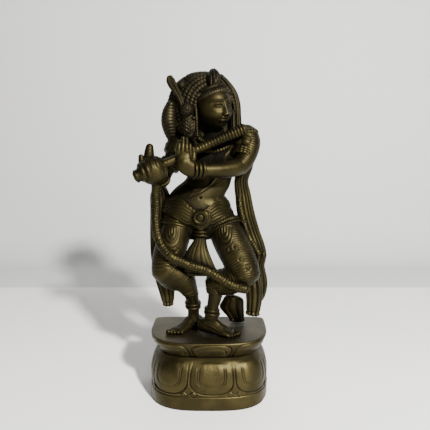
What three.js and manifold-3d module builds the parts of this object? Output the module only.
// A cast brass flute player: a cross-legged dancing figure on a two-tier lotus pedestal, 250 mm tall.
// Millimetres, +Z up, the figure faces -Y. Left and right are the figure's own, so left is +X.
// The castings are divided where a founder joins them: limbs, hands, ornaments, garland, drapes and tiers.

import * as THREE from 'three';
import { mergeVertices } from 'three/addons/utils/BufferGeometryUtils.js';
import Module from 'manifold-3d';

const wasm = await Module();
wasm.setup();

// ---------------------------------------------------------------- driving dimensions

const gap = 0.3; // left between pieces that touch, filled by braze on the real statue

const pedestal = {
  width: 90, // side to side at the widest point
  depth: 60, // flat back to bowed front
  widestAt: 0.38, // how far behind the middle it is widest, as a share of half the depth
  backPower: 8, // how square the plan is behind that line
  frontPower: 3.2, // and in front of it
  lowerHeight: 38, // inverted lotus with its plain foot band
  upperHeight: 13, // upright lotus under the figure
  waistInset: 8.5, // how far the groove between the tiers is cut in
  wall: 5, // thickness of both hollow tiers
  deck: 5, // thickness of the floor under the feet
  spigot: 3.5, // how far the upper tier's collar drops into the lower tier
};

const tenon = { radius: 2.4, peened: 1.5 }; // pegs under the feet, and how far they show below the deck

const flute = { radius: 3.2, knobRadius: 4.1, knobLength: 4, ringRadius: 4.6 };

const rope = { radius: 3.8 }; // the long garland
const cloth = { thickness: 6, edge: 1.4 }; // shawls and sashes, and how far their edges are rounded
const bead = { radius: 1.6 }; // necklace

const sides = 10; // facets round a limb
const fingerSides = 6; // facets round a finger or toe

// Joint positions, measured from the middle of the deck under the figure.
const at = (x, y, z) => new THREE.Vector3(x, y, z);
const joint = {
  pelvis: at(-7.5, 3, 88),
  waist: at(-4, 4, 109),
  chest: at(3, 4, 131),
  neckBase: at(4, 4, 143),
  skull: at(3.5, -1, 171.5),
  chin: at(9.5, -8.5, 160.5),
  leftShoulder: at(28.5, 3, 147),
  leftElbow: at(22.5, -11, 127),
  leftWrist: at(-6, -26, 124.5),
  rightShoulder: at(-23, 4, 141.5),
  rightElbow: at(-35, -3, 112.5),
  rightWrist: at(-33.5, -19.5, 119),
  leftHip: at(10.5, 3, 83),
  leftKnee: at(27, -11, 47.5),
  leftCalf: at(7.5, -6, 38.5),
  leftAnkle: at(1.8, -7, 15.5),
  rightHip: at(-24, 2, 83),
  rightKnee: at(-32.5, -8, 50),
  rightCalf: at(-19.5, -2, 37),
  rightAnkle: at(-12.2, 4, 14),
  fluteTip: at(-51, -32, 119.5), // open end, past the right hand
  fluteHead: at(27, -14, 154.5), // stopped end, by the left shoulder
};
const headTurn = THREE.MathUtils.degToRad(35); // the face looks towards the left shoulder
const facing = at(Math.sin(headTurn), -Math.cos(headTurn), 0);

// ---------------------------------------------------------------- shapes

// A closed geometry as a manifold-3d solid.
function solidFrom(geometry) {
  const bare = geometry.index ? geometry.toNonIndexed() : geometry.clone();
  bare.deleteAttribute('normal');
  bare.deleteAttribute('uv');
  const merged = mergeVertices(bare, 1e-4);
  const corners = merged.index.array;
  const kept = [];
  for (let i = 0; i < corners.length; i += 3) {
    const [a, b, c] = [corners[i], corners[i + 1], corners[i + 2]];
    if (a !== b && b !== c && c !== a) kept.push(a, b, c);
  }
  return new wasm.Manifold(new wasm.Mesh({
    numProp: 3,
    vertProperties: merged.attributes.position.array,
    triVerts: new Uint32Array(kept),
  }));
}

const joined = (solids) => solids.reduce((whole, next) => whole.add(next));

// A body turned along the bone from a to b. stations are [share of the bone, radius]; deep is its
// depth over its width, round is how far its ends bulge, and grow swells it all over.
function limb(a, b, stations, grow = 0, { deep = 1, front = at(0, -1, 0), round = 0.7, facets = sides } = {}) {
  const length = a.distanceTo(b);
  const [first, last] = [stations[0][1], stations[stations.length - 1][1]];
  const [start, end] = [stations[0][0] * length, stations[stations.length - 1][0] * length];
  const flatEnds = round < 0.3;
  const edge = flatEnds ? grow : 0;
  const shoulder = (radius, y) => (flatEnds ? [] : [new THREE.Vector2(radius * 0.72 + grow, y)]);
  const profile = [
    new THREE.Vector2(0, start - first * round - grow),
    ...shoulder(first, start - first * round * 0.66 - grow / 2),
    ...stations.map(([share, radius], i) => {
      const spread = i === 0 ? -edge : (i === stations.length - 1 ? edge : 0);
      return new THREE.Vector2(radius + grow, share * length + spread);
    }),
    ...shoulder(last, end + last * round * 0.66 + grow / 2),
    new THREE.Vector2(0, end + last * round + grow),
  ];
  const along = b.clone().sub(a).normalize();
  const toward = Math.abs(front.dot(along)) > 0.98 ? at(0, 0, 1) : front;
  const forward = toward.clone().addScaledVector(along, -toward.dot(along)).normalize();
  const across = along.clone().cross(forward);
  const place = new THREE.Matrix4().makeBasis(across, along, forward.multiplyScalar(deep)).setPosition(a);
  return solidFrom(new THREE.LatheGeometry(profile, facets).applyMatrix4(place));
}

// An egg: radii along X, Y and Z, then turned about Z.
function egg(centre, [rx, ry, rz], grow = 0, turn = 0) {
  const shape = new THREE.SphereGeometry(1, 12, 8)
    .rotateX(Math.PI / 2)
    .scale(rx + grow, ry + grow, rz + grow)
    .rotateZ(turn)
    .translate(centre.x, centre.y, centre.z);
  return solidFrom(shape);
}

// A round strand of even thickness through the points.
function strand(points, radius, grow = 0, steps = 6 * points.length) {
  const section = new THREE.Shape().absarc(0, 0, radius + grow, 0, 2 * Math.PI);
  const path = new THREE.CatmullRomCurve3(points);
  return solidFrom(new THREE.ExtrudeGeometry(section, { steps, extrudePath: path, curveSegments: 4 }));
}

// A fall of cloth: an outline in X and Z, thick towards the front, whose back hangs at backAt(z).
// Its edges are rounded over by edge.
function drape(outline, backAt, grow = 0, thickness = cloth.thickness, edge = cloth.edge) {
  const shape = new THREE.Shape(outline.map(([x, z]) => new THREE.Vector2(x, z)));
  const geometry = new THREE.ExtrudeGeometry(shape, {
    depth: thickness - 2 * edge,
    bevelThickness: edge + grow,
    bevelSize: edge + grow,
    bevelOffset: -edge,
    bevelSegments: 1,
  }).rotateX(Math.PI / 2).translate(0, -edge, 0);
  const place = geometry.attributes.position;
  for (let v = 0; v < place.count; v++) place.setY(v, place.getY(v) + backAt(place.getZ(v)));
  return solidFrom(geometry);
}

// A straight line through two [height, depth] pairs, as a function of height.
const sloped = ([z0, y0], [z1, y1]) => (z) => y0 + ((z - z0) / (z1 - z0)) * (y1 - y0);

// A point on the bone from a to b.
const between = (a, b, share) => a.clone().lerp(b, share);

// ---------------------------------------------------------------- pieces, in the order that they are fitted

// Each entry makes its own body, swollen by grow; a piece is cut back from every one that is fitted before it.
const fitted = [];
const fit = (name, finish, make) => fitted.push({ name, finish, make });

// Body
const { chest, waist, pelvis, neckBase, skull, chin } = joint;
fit('torso', 'brass', (g) => joined([
  limb(waist, chest, [[-0.3, 17], [0, 15.2], [0.4, 16.6], [0.8, 19.8], [1.05, 19]], g, { deep: 0.68 }),
  limb(joint.rightShoulder, joint.leftShoulder, [[0.1, 6.5], [0.5, 9], [0.9, 6.5]], g),
  limb(neckBase, skull, [[0, 8.5], [0.25, 7.2], [0.55, 7]], g),
]));

const nose = skull.clone().addScaledVector(facing, 14.2).add(at(0.6, 0, 0));
fit('head', 'brass', (g) => joined([
  egg(skull, [13.4, 14.6, 16.3], g, headTurn),
  limb(skull.clone().addScaledVector(facing, 2).add(at(0, 0, -3)), chin, [[0, 11.6], [0.6, 9.2], [1, 5.8]], g),
  limb(nose.clone().add(at(0, 0, -1)), nose.clone().add(at(1.4, -1.4, -6)), [[0, 1.6], [1, 2.4]], g,
    { facets: fingerSides }),
]));

fit('pelvis', 'brass', (g) => joined([
  limb(pelvis, waist, [[-0.3, 21], [0.1, 24.4], [0.5, 24], [0.8, 21], [1, 17.5]], g, { deep: 0.6 }),
  limb(joint.rightHip, joint.leftHip, [[-0.05, 10], [0.5, 11], [1.05, 10]], g),
]));

// Legs, in a pleated dhoti to the shin
const { leftHip, leftKnee, leftAnkle, rightHip, rightKnee, rightAnkle } = joint;
fit('left_thigh', 'brass', (g) => limb(leftHip, leftKnee, [[0.08, 11.8], [0.5, 13.6], [0.85, 12.4], [1, 11.2]], g));
fit('right_thigh', 'brass', (g) => limb(rightHip, rightKnee, [[0.1, 10.4], [0.5, 11.5], [0.85, 11], [1, 10.2]], g));
const { leftCalf, rightCalf } = joint;
fit('left_shin', 'brass', (g) => joined([
  limb(leftKnee, leftCalf, [[0, 10.4], [0.6, 10], [1, 9.2]], g),
  limb(leftCalf, leftAnkle, [[0, 9.2], [0.4, 6.4], [0.8, 4.8], [1, 4.4]], g),
]));
fit('right_shin', 'brass', (g) => joined([
  limb(rightKnee, rightCalf, [[0, 10], [0.6, 10.4], [1, 9.4]], g),
  limb(rightCalf, rightAnkle, [[0, 9.4], [0.45, 6.2], [0.8, 4.8], [1, 4.4]], g),
]));

// A foot from heel to toe, flat where it stands, on a peg that goes through the deck.
function foot(heel, toe, ankle, peg, g) {
  const ball = between(heel, toe, 0.7);
  const across = at(-(toe.y - heel.y), toe.x - heel.x, 0).normalize();
  const toes = [-1, -0.35, 0.3, 0.9].map((side, i) => {
    const root = ball.clone().addScaledVector(across, side * 3.4);
    const tip = toe.clone().addScaledVector(across, side * 3.6).lerp(root, 0.12 * i);
    return limb(root, tip, [[0, 2], [1, 1.5]], g, { facets: fingerSides });
  });
  const body = joined([
    limb(heel, ball, [[0.08, 4], [0.5, 4.4], [1, 4.8]], g, { deep: 0.75, front: at(0, 0, 1) }),
    limb(ankle, between(heel, toe, 0.42), [[0, 4.6], [0.7, 4.6]], g),
    ...toes,
  ]);
  const underside = solidFrom(new THREE.BoxGeometry(200, 200, 40).translate(0, 0, gap - g - 20));
  const pegLength = pedestal.deck + tenon.peened + 4;
  const pegShape = new THREE.CylinderGeometry(tenon.radius + g, tenon.radius + g, pegLength + 2 * g, sides)
    .rotateX(Math.PI / 2)
    .translate(peg.x, peg.y, 4 - pegLength / 2);
  return body.subtract(underside).add(solidFrom(pegShape));
}
fit('right_foot', 'brass', (g) => foot(at(-9.5, 11, 3.4), at(-26.5, -11.5, 2), rightAnkle, at(-15.5, 2, 0), g));
fit('left_foot', 'brass', (g) => foot(at(-6, -6.5, 6.6), at(20, -16.5, 2), leftAnkle, at(9.5, -12, 0), g));

// Arms and flute
const { leftShoulder, leftElbow, leftWrist, rightShoulder, rightElbow, rightWrist } = joint;
fit('left_upper_arm', 'brass', (g) => limb(leftShoulder, leftElbow, [[0, 8], [0.5, 7], [1, 6.4]], g));
fit('left_forearm', 'brass', (g) => limb(leftElbow, leftWrist, [[0, 6.4], [0.3, 6.2], [0.8, 5], [1, 4.6]], g));
fit('right_upper_arm', 'brass', (g) => limb(rightShoulder, rightElbow, [[0, 7], [0.5, 6], [1, 5.4]], g));
fit('right_forearm', 'brass', (g) => limb(rightElbow, rightWrist, [[0, 5.6], [0.5, 5.2], [1, 4.6]], g));

const { fluteTip, fluteHead } = joint;
const fluteLength = fluteTip.distanceTo(fluteHead);
const onFlute = (distance) => between(fluteTip, fluteHead, distance / fluteLength);
fit('flute', 'brass', (g) => limb(onFlute(flute.knobLength + gap), fluteHead,
  [[0, flute.radius], [1, flute.radius]], g, { round: 0.1 }));
fit('flute_end', 'brass', (g) => joined([
  limb(fluteTip, onFlute(flute.knobLength), [[0, flute.knobRadius], [0.8, flute.knobRadius]], g, { round: 0.1 }),
  limb(onFlute(flute.knobLength - 1.2), onFlute(flute.knobLength),
    [[0, flute.ringRadius], [0.8, flute.ringRadius]], g, { round: 0.05 }),
]));

// A hand on the flute: palm, four fingers along up, and a thumb behind the flute.
function hand(palm, up, span, length, g) {
  const along = fluteHead.clone().sub(fluteTip).normalize();
  const fingers = [-1.5, -0.5, 0.5, 1.5].map((slot, i) => {
    const root = palm.clone().addScaledVector(along, (slot * span) / 4).addScaledVector(up, 3);
    const tip = root.clone().addScaledVector(up, length * [0.82, 1, 0.94, 0.78][i]);
    return limb(root, tip, [[0, span / 7], [1, span / 8.5]], g, { facets: fingerSides });
  });
  const thumbRoot = palm.clone().addScaledVector(along, span * 0.3);
  const thumbTip = thumbRoot.clone().addScaledVector(up, length * 0.5).add(at(0, 5, 0));
  return joined([
    limb(palm.clone().addScaledVector(up, -5), palm.clone().addScaledVector(up, 4),
      [[0, span / 2.4], [1, span / 2]], g, { deep: 0.55 }),
    limb(thumbRoot, thumbTip, [[0, 2.4], [1, 1.8]], g, { facets: fingerSides }),
    ...fingers,
  ]);
}
const leftPalm = at(-15.5, -27.5, 128);
fit('left_hand', 'brass', (g) => joined([
  hand(leftPalm, at(0, -0.08, 1), 13, 14, g),
  limb(leftWrist, leftPalm, [[0.1, 4.6], [0.8, 5.2]], g, { deep: 0.8 }),
]));
const rightPalm = at(-39, -28.5, 122.5);
const rightFinger = at(-0.2, -0.1, 0.97);
const fingerRoot = rightPalm.clone().add(at(-2.5, 1.5, 7.5));
fit('right_hand', 'brass', (g) => joined([
  egg(rightPalm, [10, 6.4, 10.6], g),
  limb(rightWrist, rightPalm, [[0, 4.8], [1, 5.6]], g),
  limb(fingerRoot, fingerRoot.clone().addScaledVector(rightFinger, 10.5), [[0, 3], [1, 2.4]], g),
  limb(at(-46, -27, 127), at(-47, -27, 134), [[0, 2.1], [1, 1.7]], g, { facets: fingerSides }),
]));

// Head-dress
fit('hair_cap', 'dark_brass', (g) => egg(at(-5.4, 5.5, 170.4), [26.6, 15, 26.6], g));
fit('hair_bun', 'dark_brass', (g) => joined([
  egg(at(-28.5, 3, 162), [7, 8, 13], g),
  limb(at(-28.5, 4, 155), at(-28, 5, 145), [[0, 5], [1, 2.6]], g),
]));
fit('hair_crest', 'dark_brass', (g) => limb(at(3.5, -5, 183.5), at(2.5, -2.5, 196.95), [[0, 6], [0.7, 5.2], [1, 3]], g));
fit('brow_band', 'dark_brass', (g) => egg(skull.clone().add(at(0, 0, 10.5)), [12.6, 13.8, 2.6], g, headTurn));
fit('right_ear_flower', 'dark_brass', (g) => egg(at(-15.2, -9.5, 168.8), [4.2, 4, 4.2], g));
fit('right_ear_pendant', 'dark_brass', (g) => limb(at(-14.6, -9, 162.5), at(-14.2, -9.5, 151),
  [[0, 3.6], [0.5, 5], [1, 4]], g, { deep: 0.8 }));
fit('ear_plume', 'dark_brass', (g) => limb(at(-19.6, -8, 173.5), at(-28.4, -1, 190.5),
  [[0, 1.5], [0.45, 1.8], [0.8, 3.2], [1, 2.6]], g, { deep: 0.5 }));
fit('left_side_lock', 'dark_brass', (g) => strand(
  [at(13, 2, 187.5), at(18.8, 3, 179.5), at(21.4, 4.5, 169), at(21.8, 5.5, 157.5)], 3, g, 10));
fit('back_hair', 'dark_brass', (g) => limb(at(-4, 15, 160), at(2, 12, 132),
  [[0, 15], [0.5, 13], [1, 8]], g, { deep: 0.4 }));

// Ornaments on the trunk and arms
fit('necklace', 'brass', (g) => strand(
  [at(-12, 1, 146), at(-9.5, -8, 144), at(2, -11.5, 139.5), at(14, -8, 144), at(18.5, 1, 149)], bead.radius, g, 14));
fit('left_shoulder_cap', 'brass', (g) => limb(between(leftShoulder, leftElbow, -0.2),
  between(leftShoulder, leftElbow, 0.28), [[0, 9], [0.6, 10.2], [1, 9.6]], g));
fit('right_shoulder_cap', 'brass', (g) => limb(between(rightShoulder, rightElbow, -0.12),
  between(rightShoulder, rightElbow, 0.2), [[0, 8.4], [0.6, 9.4], [1, 8.6]], g));

// A band round a limb, between two shares of its bone.
const band = (a, b, from, to, radius, g) => limb(a, b, [[from, radius], [to, radius]], g, { round: 0.08 });
fit('left_armlet', 'brass', (g) => band(leftShoulder, leftElbow, 0.48, 0.72, 8.2, g));
fit('right_armlet', 'brass', (g) => band(rightShoulder, rightElbow, 0.42, 0.62, 7.4, g));
fit('left_bangles', 'brass', (g) => band(leftElbow, leftWrist, 0.93, 1.12, 6.4, g));
fit('right_bangles', 'brass', (g) => band(rightElbow, rightWrist, 0.5, 0.75, 6.4, g));
fit('sacred_cord', 'brass', (g) => strand(
  [at(17, -6, 142), at(12, -10.5, 132), at(7, -9.8, 119), at(-3, -8.6, 108.5), at(-13, -6.5, 104)], 1.5, g, 14));

// Girdle over the hips, a stiff band that dips to its clasp in front
const girdleUp = at(0.08, -0.32, 1).normalize();
fit('girdle', 'brass', (g) => limb(at(-7.5, 4, 88), at(-7.5, 4, 88).addScaledVector(girdleUp, 13.5),
  [[0, 25.8], [0.3, 27], [1, 24.8]], g, { deep: 0.66, round: 0.08, facets: 16 }));
fit('girdle_clasp', 'brass', (g) => limb(at(-6, -12, 90), at(-6, -18.5, 90), [[0, 5.4], [1, 5]], g, { round: 0.15 }));
fit('girdle_tongue', 'brass', (g) => limb(at(-6, -13.2, 87), at(-6, -12, 79.5), [[0, 7], [0.6, 5], [1, 3]], g, { deep: 0.5 }));
fit('right_hip_strap', 'brass', (g) => band(rightHip, rightKnee, 0.02, 0.14, 11.6, g));
fit('left_hip_strap', 'brass', (g) => band(leftHip, leftKnee, 0.04, 0.16, 12.8, g));

// Anklets
fit('left_anklet', 'brass', (g) => band(leftCalf, leftAnkle, 0.8, 1, 6, g));
fit('right_anklet', 'brass', (g) => band(rightCalf, rightAnkle, 0.68, 0.86, 6, g));

// Pleated cloth hanging between the legs
fit('front_pleat', 'brass', (g) => drape(
  [[-9, 79], [-2, 79], [4, 62], [9, 49], [-4, 46], [-20, 58], [-13, 66]], sloped([79, -4], [46, -10]), g));

// Garland: down from the right arm, across both legs, and up the left side to the shoulder
const garlandRun = (points) => (g) => strand(points, rope.radius, g, 3 * points.length);
fit('garland_right_run', 'brass', garlandRun(
  [at(-37, -17, 113), at(-38, -14, 101), at(-38.2, -14, 90), at(-37.6, -15, 79), at(-34.6, -17, 70)]));
fit('garland_front_run', 'brass', garlandRun(
  [at(-34, -17.4, 69), at(-25, -20, 60.5), at(-14, -19, 55.5), at(-2, -18, 52), at(8, -20, 46), at(18, -23, 40), at(27, -22, 38)]));
fit('garland_left_run', 'brass', garlandRun(
  [at(38, -2, 60), at(31.5, 0, 71), at(26, 3, 86), at(24, 6, 100), at(25, 8, 117), at(30, 8, 134)]));

// Shawl: a long fall on the left, a narrower one on the right, and an end that swings forward on each
fit('left_shawl', 'brass', (g) => drape(
  [[27, 138], [34, 136], [31, 124], [27, 113], [31, 101], [34, 88], [38, 72], [43, 59], [41.5, 52],
    [45, 38], [44, 28], [39, 20], [31, 24], [31, 44], [33, 60], [30, 76], [24, 92], [21, 104], [20, 117]],
  sloped([138, 13], [20, 6]), g));
fit('left_shawl_end', 'brass', (g) => drape([[27.5, 39], [36, 42], [41, 24], [37, 13], [29, 13]],
  sloped([42, -2], [13, -6]), g, 8));
fit('right_shawl', 'brass', (g) => drape(
  [[-33, 118], [-40, 114], [-45, 102], [-45, 84], [-44.5, 64], [-43, 46], [-35, 49], [-37, 66], [-37, 84], [-33, 104]],
  sloped([118, 6], [46, 9]), g));
fit('right_shawl_end', 'brass', (g) => drape([[-43, 45.4], [-27, 43], [-27.5, 30], [-29.5, 17.5], [-34, 18.5], [-38.5, 32]],
  sloped([45, 9], [17, 6]), g));
fit('rear_sash', 'brass', (g) => drape([[8.5, 15], [15.5, 25], [28, 22], [28.5, 4], [26, gap], [19, gap]],
  sloped([30, 12], [0, 19]), g, 7));

// ---------------------------------------------------------------- pedestal

// Plan of the pedestal at full width: bowed towards the front, squarer at the back.
function planOutline(inset) {
  const halfWidth = pedestal.width / 2 - inset;
  const halfDepth = pedestal.depth / 2 - inset;
  const count = 44;
  return Array.from({ length: count }, (_, i) => {
    const angle = (2 * Math.PI * i) / count;
    const behind = Math.sin(angle) > 0;
    const power = 2 / (behind ? pedestal.backPower : pedestal.frontPower);
    const bow = (c) => Math.sign(c) * Math.abs(c) ** power;
    const reach = behind ? 1 - pedestal.widestAt : 1 + pedestal.widestAt;
    const y = halfDepth * (pedestal.widestAt + reach * bow(Math.sin(angle)));
    return new THREE.Vector2(halfWidth * bow(Math.cos(angle)), y);
  });
}

// A tier whose wall follows the profile, as [height, inset from the full plan], from z0 up.
function tier(profile, z0) {
  const slices = profile.slice(1).map(([top, inset], i) => {
    const [bottom, lowerInset] = profile[i];
    const shape = new THREE.Shape(planOutline(lowerInset));
    const geometry = new THREE.ExtrudeGeometry(shape, { depth: top - bottom, bevelEnabled: false });
    const place = geometry.attributes.position;
    const topX = (pedestal.width / 2 - inset) / (pedestal.width / 2 - lowerInset);
    const topY = (pedestal.depth / 2 - inset) / (pedestal.depth / 2 - lowerInset);
    for (let v = 0; v < place.count; v++) {
      if (place.getZ(v) > 0) place.setXY(v, place.getX(v) * topX, place.getY(v) * topY);
    }
    return solidFrom(geometry.translate(0, 0, z0 + bottom));
  });
  return joined(slices);
}

const deckHeight = pedestal.lowerHeight + pedestal.upperHeight;
const neck = pedestal.waistInset;
const bore = neck + pedestal.wall; // inset of the hollow through the waist

function upperLotus() {
  const h = pedestal.upperHeight;
  const body = tier([[0, neck], [h * 0.35, neck * 0.5], [h * 0.7, neck * 0.1], [h * 0.92, 0], [h, 1]], pedestal.lowerHeight);
  const collar = tier([[0, bore - 3], [pedestal.spigot + 1, bore - 3]], pedestal.lowerHeight - pedestal.spigot);
  const hollow = tier([[0, bore], [h - pedestal.deck + pedestal.spigot, bore]], pedestal.lowerHeight - pedestal.spigot);
  return body.add(collar).subtract(hollow);
}

function lowerLotus() {
  const h = pedestal.lowerHeight - gap;
  const wall = pedestal.wall;
  const body = tier([[0, 1], [h * 0.06, 0], [h * 0.25, 0], [h * 0.28, 0.8], [h * 0.5, 0], [h * 0.74, 0.9],
    [h * 0.9, neck * 0.5], [h, neck]], 0);
  const hollow = tier([[0, wall], [h * 0.6, wall], [h * 0.85, bore - 3 - gap], [h, bore - 3 - gap]], 0);
  return body.subtract(hollow);
}

// ---------------------------------------------------------------- assembly

const colour = { brass: 0x6f6138, dark_brass: 0x50462c };
const materials = Object.fromEntries(Object.entries(colour).map(([name, hex]) => [
  name, new THREE.MeshStandardMaterial({ name, color: hex, roughness: 0.42, metalness: 1 }),
]));

function meshFrom(solid, name, finish) {
  const { vertProperties, triVerts } = solid.getMesh();
  const geometry = new THREE.BufferGeometry()
    .setAttribute('position', new THREE.BufferAttribute(vertProperties, 3))
    .setIndex(new THREE.BufferAttribute(triVerts, 1));
  geometry.computeVertexNormals();
  const mesh = new THREE.Mesh(geometry, materials[finish]);
  mesh.name = name;
  return mesh;
}

// The largest body of a solid, without the offcuts that a neighbour leaves.
const mainBody = (solid) => solid.decompose().reduce((a, b) => (b.volume() > a.volume() ? b : a));

const figure = new THREE.Group();
figure.position.z = deckHeight;
const swollen = fitted.map(({ make }) => make(gap));
const boxesMeet = (a, b) => [0, 1, 2].every((i) => a.min[i] < b.max[i] && b.min[i] < a.max[i]);
fitted.forEach(({ name, finish, make }, i) => {
  let solid = make(0);
  for (const earlier of swollen.slice(0, i)) {
    if (boxesMeet(solid.boundingBox(), earlier.boundingBox())) solid = solid.subtract(earlier);
  }
  figure.add(meshFrom(mainBody(solid), name, finish));
});

const pegs = ['left_foot', 'right_foot'].map((name) => swollen[fitted.findIndex((piece) => piece.name === name)]);
const base = new THREE.Group();
base.add(meshFrom(upperLotus().subtract(joined(pegs).translate([0, 0, deckHeight])), 'upper_lotus', 'brass'));
base.add(meshFrom(lowerLotus(), 'lower_lotus', 'brass'));

const statue = new THREE.Group();
statue.add(base, figure);

// The origin is the middle of the overall box, on the surface that the statue stands on.
const overall = new THREE.Box3().setFromObject(statue);
statue.position.set(-(overall.min.x + overall.max.x) / 2, -(overall.min.y + overall.max.y) / 2, 0);

export default statue;
